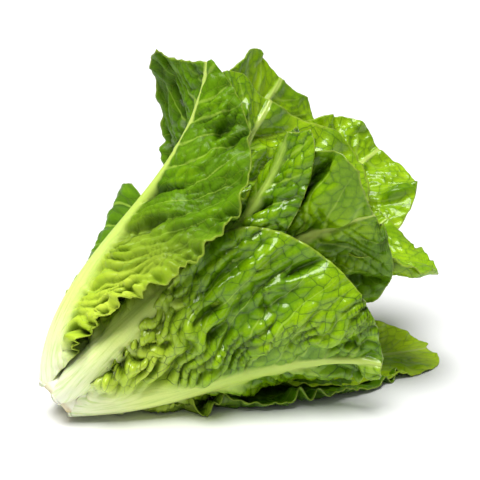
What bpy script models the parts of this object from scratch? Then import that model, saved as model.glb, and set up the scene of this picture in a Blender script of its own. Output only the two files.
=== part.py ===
"""A head of cos lettuce lying on its side: a cut stem and the leaves that grow round it.

The head is worked out as it grows, with the stem along +Z and the cut face at z = 0, and is then
laid down by its parent, the empty "head". Lengths are in millimetres and angles in degrees. Round
the stem, 0 is the side that lies on the table, and angles run counterclockwise seen from the top.
"""

import math

import bpy
import numpy as np
from mathutils import Matrix, Vector
from mathutils.bvhtree import BVHTree

MM = 0.001

# How the head lies on the table.
STEM_RISE = 35.0
STEM_TURN = 25.0
CUT_HEIGHT = 12.5

# The cut stem.
CUT_RADIUS = 9.0
CORE_LENGTH = 60.0
CORE_TIP_RADIUS = 2.5

# Leaf tissue.
BLADE_THICKNESS = 1.0
RIB_HALF_WIDTH = 11.0
STALK_ASPECT = 2.6
STALK_SHARE = 0.12
CORE_GAP = 0.8
FEET_SLOPE = 0.15
FEET_ROOM = 3.0
CORE_ROWS = 9
CORE_SIDES = 24
LEAF_GAP = 1.2
CLEARANCE = 0.35
LEAST_THICKNESS = 0.8
TABLE_GAP = 0.0
SETTLE_ROUNDS = 4
SPREAD_ROUNDS = 4
UNTANGLE_ROUNDS = 100
UNTANGLE_STEP = 0.7

# Colours.
OUTER_GREEN = (0.10, 0.26, 0.03)
HEART_GREEN = (0.45, 0.55, 0.16)
STEM_COLOUR = (0.72, 0.70, 0.48)
LEAF_ROUGHNESS = 0.42
STEM_ROUGHNESS = 0.6

# Grid of each leaf: rows along the rib, and where the columns lie from the rib to a margin.
ROWS = 20
COLUMNS = (0.10, 0.26, 0.48, 0.73, 1.0)
ARC_STEPS = 100

# Each leaf, from the outermost inwards.
#   around, drift   where its rib grows on the stem, and how far it swings round by its tip
#   foot            height of its foot on the stem
#   base            half the leaf's width at its foot, as a share of the cut's radius
#   length          along the rib
#   rib             thickness of the rib at its foot
#   lean            the rib's angle outwards from the stem, from foot to tip
#   widths          of the blade's left and right half, seen from outside with the tip up
#   widest          where each half is widest, as a share of the length
#   tips            what is left of each half's width at the tip, as a share
#   rounds          how each half ends: 0.5 in a round tip, 1 or more in a straight taper
#   left, right     each half's angle inwards at the rib, at foot, middle and tip
#   curl_left, ...  how much further each half turns inwards from rib to margin
#   hook_left, ...  how much of a last turn inwards it takes close to the margin
#   twist           how far the blade turns about its rib, at foot, middle and tip
#   sweep           how far the margins run forward of the rib, as a share of the width
LEAVES = {
    "table_leaf": dict(
        around=1, drift=-9, foot=0.6, base=0.36, length=222, rib=4, lean=(44, 38, 36, 36),
        widths=(54, 48), widest=(0.6, 0.6), tips=(0.3, 0.3), rounds=(0.5, 0.5), left=(0, 0, 0),
        right=(0, 0, 0), curl_left=(30, 15, 5), curl_right=(30, 0, -20), hook_left=(0, 20, 20),
        hook_right=(0, 0, 0), twist=(0, 0, 0), sweep=0.3),
    "upper_outer_leaf": dict(
        around=166, drift=0, foot=0.6, base=0.78, length=230, rib=5, lean=(54, 16, 14, 44),
        widths=(62, 74), widest=(0.85, 0.58), tips=(0.7, 0.05), rounds=(0.5, 1.0), left=(5, 55, 30),
        right=(0, 5, 0), curl_left=(40, -20, -60), curl_right=(60, 45, 30), hook_left=(0, 0, 0),
        hook_right=(0, -60, 0), twist=(0, -15, -40), sweep=0.1),
    "front_outer_leaf": dict(
        around=-44, drift=0, foot=0.6, base=0.78, length=198, rib=5, lean=(46, 28, 30, 56),
        widths=(98, 28), widest=(0.6, 0.52), tips=(0.05, 0.3), rounds=(0.9, 0.5), left=(0, 5, 0),
        right=(0, 10, 0), curl_left=(60, 50, 40), curl_right=(50, 30, 20), hook_left=(0, 0, 0),
        hook_right=(0, 0, 0), twist=(0, 25, 35), sweep=0.1),
    "front_middle_leaf": dict(
        around=-119, drift=-72, foot=0.6, base=0.78, length=222, rib=5, lean=(46, 4, 8, 36),
        widths=(34, 30), widest=(0.5, 0.5), tips=(0.5, 0.5), rounds=(0.5, 0.5), left=(0, 10, 20),
        right=(0, 10, 20), curl_left=(60, 50, 40), curl_right=(60, 50, 40), hook_left=(0, 0, 0),
        hook_right=(0, 0, 0), twist=(0, 0, 0), sweep=0.3),
    "upper_back_leaf": dict(
        around=108, drift=0, foot=0.6, base=0.42, length=160, rib=4, lean=(50, 38, 34, 38),
        widths=(40, 26), widest=(0.7, 0.7), tips=(0.5, 0.5), rounds=(0.5, 0.5), left=(0, 10, 0),
        right=(0, 10, 0), curl_left=(35, 30, 10), curl_right=(35, 30, 10), hook_left=(0, 0, 0),
        hook_right=(0, 0, 0), twist=(0, 0, 0), sweep=0.3),
    "back_outer_leaf": dict(
        around=62, drift=0, foot=0.6, base=0.5, length=205, rib=4, lean=(46, 26, 20, 30),
        widths=(46, 50), widest=(0.62, 0.62), tips=(0.25, 0.25), rounds=(0.5, 0.5), left=(0, 0, 0),
        right=(0, 0, 0), curl_left=(35, 25, 0), curl_right=(35, 25, 0), hook_left=(0, 0, 0),
        hook_right=(0, 0, 0), twist=(0, 0, 0), sweep=0.3),
    "low_back_leaf": dict(
        around=-2, drift=0, foot=10, base=0.5, length=258, rib=3.6, lean=(36, 38, 42, 58),
        widths=(40, 36), widest=(0.8, 0.8), tips=(0.3, 0.3), rounds=(0.5, 0.5), left=(0, 5, 10),
        right=(0, 5, 10), curl_left=(60, 40, 20), curl_right=(60, 40, 20), hook_left=(0, 0, 0),
        hook_right=(0, 0, 0), twist=(0, -20, -35), sweep=0.2),
    "tall_back_leaf": dict(
        around=104, drift=0, foot=12, base=0.5, length=266, rib=3.8, lean=(34, 16, 14, 28),
        widths=(44, 40), widest=(0.84, 0.84), tips=(0.6, 0.6), rounds=(0.5, 0.5), left=(0, 10, 0),
        right=(0, 10, 0), curl_left=(60, 30, 0), curl_right=(60, 30, 0), hook_left=(0, 0, 0),
        hook_right=(0, 0, 0), twist=(0, 10, 20), sweep=0.2),
    "front_right_leaf": dict(
        around=-80, drift=0, foot=15, base=0.5, length=214, rib=3.6, lean=(32, 4, 14, 44),
        widths=(66, 94), widest=(0.72, 0.54), tips=(0.5, 0.15), rounds=(0.5, 0.5), left=(0, 5, 0),
        right=(0, 0, -10), curl_left=(60, 40, 20), curl_right=(60, 30, 0), hook_left=(0, 0, 0),
        hook_right=(0, 0, 0), twist=(0, 0, 0), sweep=0.1),
    "right_back_leaf": dict(
        around=48, drift=0, foot=17, base=0.5, length=280, rib=3.6, lean=(36, 14, 8, 20),
        widths=(60, 52), widest=(0.74, 0.74), tips=(0.3, 0.3), rounds=(0.5, 0.5), left=(0, 10, 10),
        right=(0, 10, 10), curl_left=(60, 30, 0), curl_right=(60, 30, 0), hook_left=(0, 0, 0),
        hook_right=(0, 0, 0), twist=(0, 0, 0), sweep=0.2),
    "right_low_leaf": dict(
        around=6, drift=0, foot=26, base=0.44, length=236, rib=3.6, lean=(38, 16, 16, 30),
        widths=(98, 54), widest=(0.62, 0.74), tips=(0.3, 0.3), rounds=(0.5, 0.5), left=(0, 10, 0),
        right=(0, 10, 10), curl_left=(60, 30, 0), curl_right=(60, 30, 0), hook_left=(0, 0, 0),
        hook_right=(0, 0, 0), twist=(0, 0, 0), sweep=0),
    "inner_back_leaf": dict(
        around=118, drift=0, foot=29, base=0.44, length=218, rib=3.2, lean=(34, 10, 12, 26),
        widths=(98, 50), widest=(0.72, 0.72), tips=(0.5, 0.5), rounds=(0.5, 0.5), left=(0, 10, 0),
        right=(0, 10, 0), curl_left=(60, 30, 0), curl_right=(60, 30, 0), hook_left=(0, 0, 0),
        hook_right=(0, 0, 0), twist=(0, 30, 45), sweep=0.2),
    "heart_leaf_1": dict(
        around=-150, drift=0, foot=36, base=0.38, length=145, rib=2.4, lean=(30, 8, 0, 0), widths=(34, 34),
        widest=(0.6, 0.6), tips=(0.3, 0.3), rounds=(0.5, 0.5), left=(0, 10, 10), right=(0, 10, 10),
        curl_left=(80, 80, 60), curl_right=(80, 80, 60), hook_left=(0, 0, 0), hook_right=(0, 0, 0), twist=(0, 0, 0), sweep=0.2),
    "heart_leaf_2": dict(
        around=-12, drift=0, foot=45, base=0.33, length=130, rib=2.2, lean=(30, 8, 0, 0), widths=(30, 30),
        widest=(0.6, 0.6), tips=(0.3, 0.3), rounds=(0.5, 0.5), left=(0, 10, 10), right=(0, 10, 10),
        curl_left=(80, 80, 60), curl_right=(80, 80, 60), hook_left=(0, 0, 0), hook_right=(0, 0, 0), twist=(0, 0, 0), sweep=0.2),
    "heart_leaf_3": dict(
        around=75, drift=0, foot=52, base=0.28, length=115, rib=2.0, lean=(26, 6, 0, 0), widths=(24, 24),
        widest=(0.6, 0.6), tips=(0.3, 0.3), rounds=(0.5, 0.5), left=(0, 10, 10), right=(0, 10, 10),
        curl_left=(90, 90, 60), curl_right=(90, 90, 60), hook_left=(0, 0, 0), hook_right=(0, 0, 0), twist=(0, 0, 0), sweep=0.2),
}


def through(values, shares):
    """A smooth curve through evenly spaced values, read at shares of its length."""
    places = np.linspace(0, 1, len(values))
    return np.polyval(np.polyfit(places, values, len(values) - 1), shares)


def core_radius(height):
    """Radius of the stem's core, a blunt cone from the cut face to its growing tip."""
    share = np.clip(np.asarray(height) / CORE_LENGTH, 0, 1)
    return CUT_RADIUS + (CORE_TIP_RADIUS - CUT_RADIUS) * share**2


def rib_line(leaf, shares):
    """Points on the rib's inner face, and its direction, its side and its outward normal there."""
    fine = np.linspace(0, 1, 241)
    lean = np.radians(through(leaf["lean"], fine))
    around = np.radians(leaf["around"] + leaf["drift"] * fine)
    outward = np.stack([np.cos(around), np.sin(around), 0 * around], 1)
    side = np.stack([-np.sin(around), np.cos(around), 0 * around], 1)
    along = np.cos(lean)[:, None] * (0, 0, 1) + np.sin(lean)[:, None] * outward
    normal = np.cos(lean)[:, None] * outward - np.sin(lean)[:, None] * (0, 0, 1)
    step = leaf["length"] / (len(fine) - 1)
    middles = (along[1:] + along[:-1]) / 2 * step
    start = outward[0] * (core_radius(leaf["foot"]) + CORE_GAP) + np.array((0, 0, leaf["foot"]))
    line = start + np.concatenate([np.zeros((1, 3)), np.cumsum(middles, axis=0)])
    at = np.clip(np.round(shares * (len(fine) - 1)).astype(int), 0, len(fine) - 1)
    return line[at], along[at], side[at], normal[at]


def half_width(leaf, which, shares):
    """Width of one half of the blade along the rib: a narrow foot, a broad middle and a round tip."""
    broad, widest, tip = leaf["widths"][which], leaf["widest"][which], leaf["tips"][which]
    rise = np.clip(shares / widest, 0, 1)
    rise = rise * rise * (3 - 2 * rise)
    fall = np.clip((shares - widest) / (1 - widest), 0, 1)
    stalk = STALK_ASPECT * leaf["rib"]
    spring = np.sin(math.pi / 2 * np.clip(shares / STALK_SHARE, 0, 1))
    foot = CUT_RADIUS * leaf["base"]
    lower = foot + (stalk - foot) * spring + (broad - stalk) * rise
    return lower * (tip + (1 - tip) * (1 - fall**1.7) ** leaf["rounds"][which])


def leaf_grid(leaf, shares, columns):
    """The blade's inner face as a grid of points, from its left margin over the rib to its right one."""
    line, along, side, normal = rib_line(leaf, shares)
    turn = np.radians(through(leaf["twist"], shares))[:, None]
    side, normal = np.cos(turn) * side + np.sin(turn) * normal, np.cos(turn) * normal - np.sin(turn) * side
    fine = np.linspace(0, 1, ARC_STEPS + 1)
    at = np.round(np.asarray(columns) * ARC_STEPS).astype(int)
    halves = []
    for which, name, sign in ((0, "left", -1), (1, "right", 1)):
        width = half_width(leaf, which, shares)[:, None, None]
        start, curl, hook = (np.radians(through(leaf[part + name], shares))[:, None]
                             for part in ("", "curl_", "hook_"))
        angle = start + curl * fine + hook * fine**4
        across, inward = (np.concatenate([0 * start, np.cumsum((part[:, 1:] + part[:, :-1]) / 2, axis=1)], 1)
                          / ARC_STEPS for part in (np.cos(angle), np.sin(angle)))
        bent = across[:, at, None] * sign * side[:, None, :] - inward[:, at, None] * normal[:, None, :]
        forward = leaf["sweep"] * (fine[at]**2)[None, :, None] * along[:, None, :]
        halves.append(line[:, None, :] + width * (bent + forward))
    return np.concatenate([halves[0][:, ::-1], line[:, None, :], halves[1]], axis=1)


def thickness(leaf, shares, columns):
    """Leaf thickness: a thin blade with a rib that stands out behind it, thick at the foot."""
    across = np.array([-c for c in reversed(columns)] + [0.0] + list(columns))
    which = np.where(across < 0, 0, 1)
    widths = np.stack([half_width(leaf, 0, shares), half_width(leaf, 1, shares)], 1)[:, which]
    taper = np.clip(1 - shares, 0, 1)[:, None]
    off = across[None, :] * widths / (RIB_HALF_WIDTH * (0.25 + 0.75 * taper))
    rib = (leaf["rib"] - BLADE_THICKNESS) * taper**1.3 * np.exp(-(off**2))
    return BLADE_THICKNESS + rib


def row_shares():
    """Rows from foot to tip, closer together towards both ends."""
    even = np.linspace(0, 1, ROWS + 1)
    return even - 0.07 * np.sin(2 * math.pi * even)


def sheet_faces(rows, columns):
    """The faces of a grid of points, counterclockwise seen from the leaf's inner side."""
    index = np.arange(rows * columns).reshape(rows, columns)
    lower, upper = index[:-1], index[1:]
    return np.stack([lower[:, :-1], upper[:, :-1], upper[:, 1:], lower[:, 1:]], 2).reshape(-1, 4)


def split(quads):
    """Each four-sided face as two triangles."""
    return np.concatenate([quads[:, (0, 1, 2)], quads[:, (0, 2, 3)]])


def solid_faces(rows, columns):
    """The faces of a leaf: its inner face, its outer face and the margin all round."""
    index = np.arange(rows * columns).reshape(rows, columns)
    inner = sheet_faces(rows, columns)
    outer = inner[:, ::-1] + rows * columns
    rim = np.concatenate([index[0], index[1:, -1], index[-1, -2::-1], index[-2:0:-1, 0]])
    after = np.roll(rim, -1)
    edge = np.stack([rim, after, after + rows * columns, rim + rows * columns], 1)
    return split(np.concatenate([inner, outer, edge]))


def outer_face(grid, thick):
    """The blade's outer face, one leaf thickness out from the inner one and level with it at the foot."""
    along = np.gradient(grid, axis=0)
    across = np.gradient(grid, axis=1)
    normal = np.cross(across, along)
    normal /= np.linalg.norm(normal, axis=2, keepdims=True)
    level = normal[0] * (1, 1, 0)
    normal[0] = level / np.sum(level * normal[0], axis=1, keepdims=True)
    return grid + thick[:, :, None] * normal


def tree_of(points, faces):
    """A search tree of a surface."""
    return BVHTree.FromPolygons([Vector(p) for p in points.reshape(-1, 3)], faces.tolist())


def lie_on_table(grid, thick):
    """Lifts what would sink into the table, so that the leaf lies flat on it."""
    rise = math.radians(STEM_RISE)
    up = np.array((-math.cos(rise), 0.0, math.sin(rise)))
    height = CUT_HEIGHT + grid @ up - thick
    return grid + np.clip(TABLE_GAP - height, 0, None)[:, :, None] * up


def spread(field, rounds):
    """Carries a pull on a grid a little past where it acts, fading out smoothly."""
    wide = field
    for step in range(rounds):
        padded = np.pad(wide, 1, mode="edge")
        mean = (padded[:-2, 1:-1] + padded[2:, 1:-1] + padded[1:-1, :-2] + padded[1:-1, 2:] + wide) / 5
        wide = np.maximum(wide, mean) if step < rounds // 2 else mean
    return np.maximum(wide, 0.7 * field)


def room_inside(tree, point):
    """How far a point must be drawn in towards the axis to lie inside an outer leaf."""
    axis = Vector((0, 0, point.z))
    reach = (point - axis).length
    hit = tree.ray_cast(axis, (point - axis).normalized())
    if hit[0] is None or hit[3] < 0.3 * reach:
        return 0.0
    return max(0.0, reach - (hit[3] - LEAF_GAP))


def drawn_in(grid, pull):
    """The leaf with each point drawn in towards the axis, but not into the core and the feet on it."""
    height = grid[:, :, 2]
    floor = core_radius(height) + CORE_GAP + np.clip(FEET_SLOPE * (height - height[0].mean()), 0, FEET_ROOM)
    reach = np.linalg.norm(grid[:, :, :2], axis=2)
    keep = np.maximum(reach - pull, np.minimum(floor, reach)) / np.maximum(reach, 1e-6)
    return grid * np.stack([keep, keep, np.ones_like(keep)], 2)


def settle(grids, thicks):
    """Draws each leaf in towards the stem until it lies inside the leaves that grow outside it."""
    trees, settled = [], []
    for grid, thick in zip(grids, thicks):
        for _ in range(SETTLE_ROUNDS):
            pull = np.array([[max([room_inside(tree, Vector(p)) for tree in trees] + [0.0]) for p in row]
                             for row in outer_face(grid, thick)])
            pull[0] = 0
            if pull.max() < 0.05:
                break
            grid = drawn_in(grid, spread(pull, SPREAD_ROUNDS))
        settled.append(grid)
        trees.append(tree_of(grid, sheet_faces(*grid.shape[:2])))
    return settled


def touching(grid, thick, trees):
    """Marks the points of a leaf whose faces cut, or almost cut, one of the other leaves."""
    rows, columns = grid.shape[:2]
    faces = solid_faces(rows, columns)
    shell = np.concatenate([outer_face(grid, 0 * thick - CLEARANCE), outer_face(grid, thick + CLEARANCE)])
    tree = tree_of(shell, faces)
    marks = np.zeros(2 * rows * columns)
    for other in trees:
        for _, face in other.overlap(tree):
            marks[faces[face]] = 1
    return marks.reshape(2, rows, columns).max(axis=0)


def untangle(grids, thicks):
    """Draws in and thins each leaf where it would still cut one that grows outside it."""
    trees, cleared, thinned = [], [], []
    for grid, thick in zip(grids, thicks):
        for _ in range(UNTANGLE_ROUNDS):
            marks = touching(grid, thick, trees)
            if not marks.any():
                break
            field = spread(marks, SPREAD_ROUNDS)
            grid = drawn_in(grid, UNTANGLE_STEP * field)
            thick = np.maximum(thick * (1 - 0.04 * field), np.minimum(thick, LEAST_THICKNESS))
        cleared.append(grid)
        thinned.append(thick)
        points = np.concatenate([grid, outer_face(grid, thick)])
        trees.append(tree_of(points, solid_faces(*grid.shape[:2])))
    return cleared, thinned


def plant_material(name, colour, roughness):
    """A matte or waxy plant surface of one colour."""
    material = bpy.data.materials.new(name)
    material.use_nodes = True
    shader = material.node_tree.nodes["Principled BSDF"]
    shader.inputs["Base Color"].default_value = (*colour, 1)
    shader.inputs["Roughness"].default_value = roughness
    shader.inputs["Metallic"].default_value = 0.0
    return material


def leaf_material(name, depth):
    """Blade green: deep on the outermost leaf, yellower towards the heart."""
    green = np.array(OUTER_GREEN) * (1 - depth) + np.array(HEART_GREEN) * depth
    return plant_material(name, green, LEAF_ROUGHNESS)


def stem_material():
    """The pale flesh of the cut stem."""
    return plant_material("stem", STEM_COLOUR, STEM_ROUGHNESS)


def leaf_object(name, grid, thick, parent, depth):
    """One leaf as a closed solid."""
    points = np.concatenate([grid, outer_face(grid, thick)]).reshape(-1, 3)
    mesh = bpy.data.meshes.new(name)
    mesh.from_pydata([Vector(p) * MM for p in points], [], solid_faces(*grid.shape[:2]).tolist())
    mesh.materials.append(leaf_material(name, depth))
    leaf = bpy.data.objects.new(name, mesh)
    bpy.data.collections["lettuce"].objects.link(leaf)
    leaf.parent = parent
    return leaf


def clear_scene():
    for thing in list(bpy.data.objects):
        bpy.data.objects.remove(thing)
    bpy.context.scene.collection.children.link(bpy.data.collections.new("lettuce"))


def core_object(parent):
    """The stem's core, turned about its axis, with the flat cut at its foot."""
    heights = np.linspace(0, CORE_LENGTH, CORE_ROWS)
    ring = np.arange(CORE_SIDES) * 2 * math.pi / CORE_SIDES
    points = [(radius * math.cos(a) * MM, radius * math.sin(a) * MM, height * MM)
              for height, radius in zip(heights, core_radius(heights)) for a in ring]
    faces = [tuple(reversed(range(CORE_SIDES))),
             tuple(range(len(points) - CORE_SIDES, len(points)))]
    for row in range(CORE_ROWS - 1):
        for side in range(CORE_SIDES):
            low, after = row * CORE_SIDES, (side + 1) % CORE_SIDES
            faces.append((low + side, low + after, low + after + CORE_SIDES, low + side + CORE_SIDES))
    mesh = bpy.data.meshes.new("stem")
    mesh.from_pydata(points, [], faces)
    mesh.materials.append(stem_material())
    core = bpy.data.objects.new("stem", mesh)
    bpy.data.collections["lettuce"].objects.link(core)
    core.parent = parent
    return core


def lay_down(head):
    """Turns the head onto its side, with the middle of its underside over the origin."""
    head.location = (0, 0, CUT_HEIGHT * MM)
    head.rotation_euler = (Matrix.Rotation(math.radians(STEM_TURN), 3, "Z")
                           @ Matrix.Rotation(math.radians(90 - STEM_RISE), 3, "Y")).to_euler()
    bpy.context.view_layer.update()
    corners = np.concatenate([[piece.matrix_world @ vertex.co for vertex in piece.data.vertices]
                              for piece in head.children])
    low, high = corners.min(axis=0), corners.max(axis=0)
    head.location -= Vector(((low[0] + high[0]) / 2, (low[1] + high[1]) / 2, low[2]))
    bpy.context.view_layer.update()


def main():
    clear_scene()
    head = bpy.data.objects.new("head", None)
    bpy.data.collections["lettuce"].objects.link(head)
    shares = row_shares()
    thicks = [thickness(leaf, shares, COLUMNS) for leaf in LEAVES.values()]
    grids = [lie_on_table(leaf_grid(leaf, shares, COLUMNS), t) for leaf, t in zip(LEAVES.values(), thicks)]
    grids, thicks = untangle(settle(grids, thicks), thicks)
    for place, (name, grid, thick) in enumerate(zip(LEAVES, grids, thicks)):
        leaf_object(name, grid, thick, head, place / (len(LEAVES) - 1))
    core_object(head)
    lay_down(head)


main()
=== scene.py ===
"""A head of cos lettuce lying on its side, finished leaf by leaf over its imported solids."""
import math

import bpy
import numpy as np
from mathutils import Matrix, Vector
from mathutils.bvhtree import BVHTree


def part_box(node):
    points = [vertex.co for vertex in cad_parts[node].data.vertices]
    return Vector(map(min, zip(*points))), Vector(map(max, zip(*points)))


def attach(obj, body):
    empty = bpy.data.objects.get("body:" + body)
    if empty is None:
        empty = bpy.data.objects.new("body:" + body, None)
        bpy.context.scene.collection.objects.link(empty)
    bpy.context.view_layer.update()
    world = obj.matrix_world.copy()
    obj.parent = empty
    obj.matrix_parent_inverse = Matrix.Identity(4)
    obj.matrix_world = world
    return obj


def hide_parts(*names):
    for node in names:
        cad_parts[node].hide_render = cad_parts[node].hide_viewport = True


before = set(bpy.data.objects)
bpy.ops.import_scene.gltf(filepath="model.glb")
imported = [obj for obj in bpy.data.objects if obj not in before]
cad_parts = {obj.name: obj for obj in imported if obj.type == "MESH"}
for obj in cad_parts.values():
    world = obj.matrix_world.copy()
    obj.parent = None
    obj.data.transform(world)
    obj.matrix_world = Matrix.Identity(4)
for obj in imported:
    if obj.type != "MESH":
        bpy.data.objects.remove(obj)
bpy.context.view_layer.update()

# ---------------------------------------------------------------------------------------------
# The stem. A short core of pale, juicy flesh with every leaf grown onto it. It is cut straight
# through at the foot, and the cut has dried to a yellow-brown ring where the leaf bases meet it.
# The head is worked out upright in millimetres, with the cut at z = 0, and then laid on its side.
MM = 0.001
STEM_RISE = 35.0
STEM_TURN = 25.0
CUT_HEIGHT = 12.5
CUT_RADIUS = 9.0
CORE_LENGTH = 60.0
CORE_TIP_RADIUS = 2.5
BUTT_RADIUS = 15.0
BUTT_DEPTH = 22.0
FACE_RINGS = 20
WALL_RINGS = 13
STEM_SIDES = 96
CORE_ROWS = 9
CORE_SIDES = 24


def core_radius(height):
    """Radius of the stem's core, a blunt cone from the cut face to its growing tip."""
    share = np.clip(np.asarray(height) / CORE_LENGTH, 0, 1)
    return CUT_RADIUS + (CORE_TIP_RADIUS - CUT_RADIUS) * share**2


def turned(heights, radii, sides):
    """Rings of points about the stem's axis."""
    ring = np.arange(sides) * 2 * math.pi / sides
    radii, heights = np.asarray(radii, float)[:, None], np.asarray(heights, float)[:, None]
    return np.stack([radii * np.cos(ring), radii * np.sin(ring), heights + 0 * ring], 2)


def stem_place():
    """The turn that lays the head down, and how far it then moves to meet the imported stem."""
    turn = np.array(Matrix.Rotation(math.radians(STEM_TURN), 3, "Z")
                    @ Matrix.Rotation(math.radians(90 - STEM_RISE), 3, "Y"))
    heights = np.linspace(0, CORE_LENGTH, CORE_ROWS)
    core = turned(heights, core_radius(heights), CORE_SIDES).reshape(-1, 3) @ turn.T * MM
    return turn, np.array(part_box("stem")[0]) - core.min(axis=0)


lying_turn, lying_shift = stem_place()


def lay_down(points):
    """Points of the upright head, in millimetres, where they lie, in metres."""
    return points.reshape(-1, 3) @ lying_turn.T * MM + lying_shift


def smooth(low, high, value):
    """0 below low, 1 above high, and an even slope between."""
    share = np.clip((value - low) / (high - low), 0, 1)
    return share * share * (3 - 2 * share)


def cloud(x, y, seed):
    """Smooth uneven humps about one unit across, from -1 to 1."""
    table = np.random.default_rng(seed).uniform(-1, 1, (64, 64))
    i, j = np.floor(x).astype(int), np.floor(y).astype(int)
    u, v = smooth(0, 1, x - i), smooth(0, 1, y - j)
    low = table[i % 64, j % 64] * (1 - u) + table[(i + 1) % 64, j % 64] * u
    high = table[i % 64, (j + 1) % 64] * (1 - u) + table[(i + 1) % 64, (j + 1) % 64] * u
    return low * (1 - v) + high * v


def add_piece(name, points, faces, marks, material, node):
    """Makes a mesh in its lying place, with its marks as attributes, and lets it stand for a node."""
    mesh = bpy.data.meshes.new(name)
    mesh.from_pydata(lay_down(points).tolist(), [], faces.tolist() if hasattr(faces, "tolist") else faces)
    for mark, values in marks.items():
        values = np.asarray(values, np.float32)
        vectors = values.size > len(mesh.vertices)
        layer = mesh.attributes.new(mark, "FLOAT_VECTOR" if vectors else "FLOAT", "POINT")
        layer.data.foreach_set("vector" if vectors else "value", values.ravel())
    mesh.materials.append(material)
    mesh.shade_smooth()
    piece = bpy.data.objects.new(name, mesh)
    bpy.context.scene.collection.objects.link(piece)
    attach(piece, "root")
    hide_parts(node)
    return piece


CREVICE_SHADE_RAYS = 6


class Skin:
    """A plant surface whose colour, gloss and grain are built up from nodes."""

    def __init__(self, name):
        self.material = bpy.data.materials.new(name)
        self.material.use_nodes = True
        self.tree = self.material.node_tree
        self.shader = self.tree.nodes["Principled BSDF"]

    def socket(self, target, value):
        if isinstance(value, bpy.types.NodeSocket):
            self.tree.links.new(value, target)
        else:
            target.default_value = value

    def math(self, operation, a, b=0.0, c=0.0):
        made = self.tree.nodes.new("ShaderNodeMath")
        made.operation = operation
        for target, value in zip(made.inputs, (a, b, c)):
            self.socket(target, value)
        return made.outputs[0]

    def mark(self, name):
        made = self.tree.nodes.new("ShaderNodeAttribute")
        made.attribute_name = name
        return made.outputs["Fac"]

    def place(self, name, scale):
        made = self.tree.nodes.new("ShaderNodeAttribute")
        made.attribute_name = name
        mapping = self.tree.nodes.new("ShaderNodeMapping")
        mapping.inputs["Scale"].default_value = scale
        self.tree.links.new(made.outputs["Vector"], mapping.inputs["Vector"])
        return mapping.outputs[0]

    def grain(self, place, scale, detail=3.0, rough=0.55):
        made = self.tree.nodes.new("ShaderNodeTexNoise")
        self.tree.links.new(place, made.inputs["Vector"])
        made.inputs["Scale"].default_value = scale
        made.inputs["Detail"].default_value = detail
        made.inputs["Roughness"].default_value = rough
        return made.outputs[0]

    def ramp(self, value, *stops):
        made = self.tree.nodes.new("ShaderNodeValToRGB")
        band = made.color_ramp
        band.elements[0].position, band.elements[0].color = stops[0][0], (*stops[0][1], 1)
        band.elements[1].position, band.elements[1].color = stops[-1][0], (*stops[-1][1], 1)
        for at, colour in stops[1:-1]:
            band.elements.new(at).color = (*colour, 1)
        self.socket(made.inputs[0], value)
        return made.outputs[0]

    def mix(self, share, under, over):
        made = self.tree.nodes.new("ShaderNodeMix")
        made.data_type = "RGBA"
        self.socket(made.inputs[0], share)
        for target, value in ((made.inputs[6], under), (made.inputs[7], over)):
            self.socket(target, value if isinstance(value, bpy.types.NodeSocket) else (*value, 1))
        return made.outputs[2]

    def band(self, value, low, high):
        """0 at low and 1 at high, with a smooth slope between."""
        made = self.tree.nodes.new("ShaderNodeMapRange")
        made.interpolation_type = "SMOOTHSTEP"
        made.inputs["From Min"].default_value = min(low, high)
        made.inputs["From Max"].default_value = max(low, high)
        made.inputs["To Min"].default_value = float(low > high)
        made.inputs["To Max"].default_value = float(low < high)
        self.tree.links.new(value, made.inputs["Value"])
        return made.outputs[0]

    def net(self, place, scale, width):
        """1 on the walls of a net of veins and 0 in its meshes."""
        made = self.tree.nodes.new("ShaderNodeTexVoronoi")
        made.feature, made.voronoi_dimensions = "DISTANCE_TO_EDGE", "2D"
        made.inputs["Scale"].default_value = scale
        made.inputs["Randomness"].default_value = NET_UNEVEN
        self.tree.links.new(place, made.inputs["Vector"])
        return self.band(made.outputs["Distance"], width, 0.0)

    def crevice_shade(self, reach):
        """Painted shade: 1 deep between two leaves or in a tight fold, and 0 in the open, read from an
        ambient occlusion node.
        """
        made = self.tree.nodes.new("ShaderNodeAmbientOcclusion")
        made.samples = CREVICE_SHADE_RAYS
        made.inputs["Distance"].default_value = reach
        return self.band(made.outputs["AO"], 0.85, 0.1)

    def bump(self, height, strength, distance):
        made = self.tree.nodes.new("ShaderNodeBump")
        made.inputs["Strength"].default_value = strength
        made.inputs["Distance"].default_value = distance
        self.tree.links.new(height, made.inputs["Height"])
        self.tree.links.new(made.outputs[0], self.shader.inputs["Normal"])


def cut_flesh():
    """Milky, faintly patchy flesh, with a rim that has dried yellow and brown."""
    skin = Skin("cut flesh")
    place = skin.place("place", (1, 1, 1))
    patches = skin.grain(place, 180.0, 4.0)
    fine = skin.grain(place, 900.0, 3.0)
    flesh = skin.ramp(patches, (0.3, (0.82, 0.83, 0.58)), (0.7, (0.92, 0.93, 0.76)))
    browned = skin.math("MULTIPLY", skin.mark("rim"), skin.math("MULTIPLY_ADD", patches, 2.4, -0.6))
    browned = skin.math("MINIMUM", skin.math("MAXIMUM", browned, 0.0), 0.85)
    colour = skin.mix(browned, flesh, (0.50, 0.33, 0.09))
    skin.socket(skin.shader.inputs["Base Color"], colour)
    skin.socket(skin.shader.inputs["Roughness"], skin.math("MULTIPLY_ADD", fine, 0.3, 0.38))
    skin.shader.inputs["Subsurface Weight"].default_value = 0.25
    skin.shader.inputs["Subsurface Radius"].default_value = (0.004, 0.004, 0.0015)
    skin.bump(fine, 0.35, 0.0004)
    return skin.material


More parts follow.
